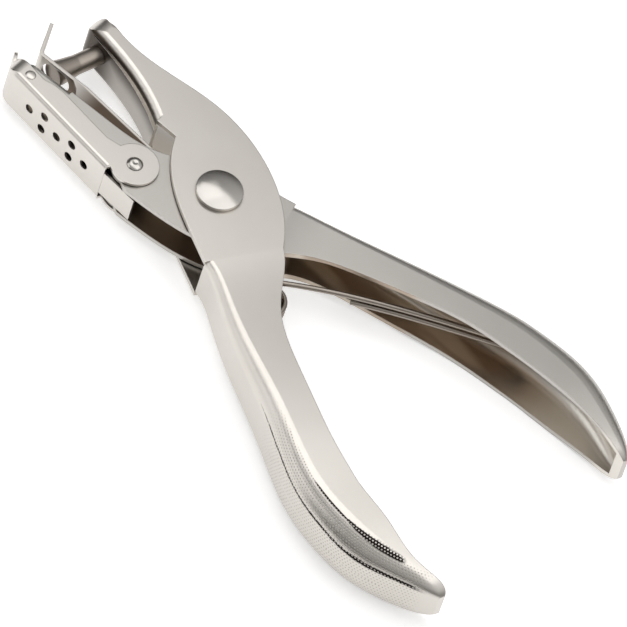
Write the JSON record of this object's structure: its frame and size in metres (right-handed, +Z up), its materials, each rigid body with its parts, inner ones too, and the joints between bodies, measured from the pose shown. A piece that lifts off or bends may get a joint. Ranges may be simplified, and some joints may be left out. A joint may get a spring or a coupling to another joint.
{
  "type": "hole punch",
  "caption": "Single-hole hand punch of stamped, plated steel with a tilting chip tray, two channel handles and a wire return spring.",
  "frame": {"origin": "on the main pivot's axis, at the surface the tool lies on", "axes": "+X along the die face from the jaws to the handles, +Y against the punching direction, +Z up along the pivot axis"},
  "size_m": [0.1576, 0.0741, 0.0159],
  "materials": {
    "plated_steel": "satin nickel plate",
    "rivet_steel": "polished nickel plate",
    "tool_steel": "ground",
    "spring_wire": "drawn and plated"
  },
  "bodies": {
    "punch_body": {"punch_lever": "plated_steel", "punch_pin": "tool_steel", "main_pivot_rivet": "rivet_steel", "return_spring": "spring_wire"},
    "die_body": {"die_lever": "plated_steel", "stripper_plate": "plated_steel", "catcher_hinge_pin": "rivet_steel", "pivot_sleeve": "tool_steel"},
    "catcher_body": {"chip_catcher": "plated_steel"}
  },
  "joints": [
    {"name": "squeeze", "type": "hinge", "parent": "punch_body", "child": "die_body", "pos_m": [0, 0, 0.0078], "axis": [0, 0, -1], "range_deg": [0, 8], "stiffness_Nm_per_rad": 3, "springref_deg": -17.19, "deforming": ["return_spring"]},
    {"name": "catcher_hinge", "type": "hinge", "parent": "die_body", "child": "catcher_body", "pos_m": [-0.0172, -0.0072, 0.0078], "axis": [0, 0, 1], "range_deg": [0, 40]}
  ]
}
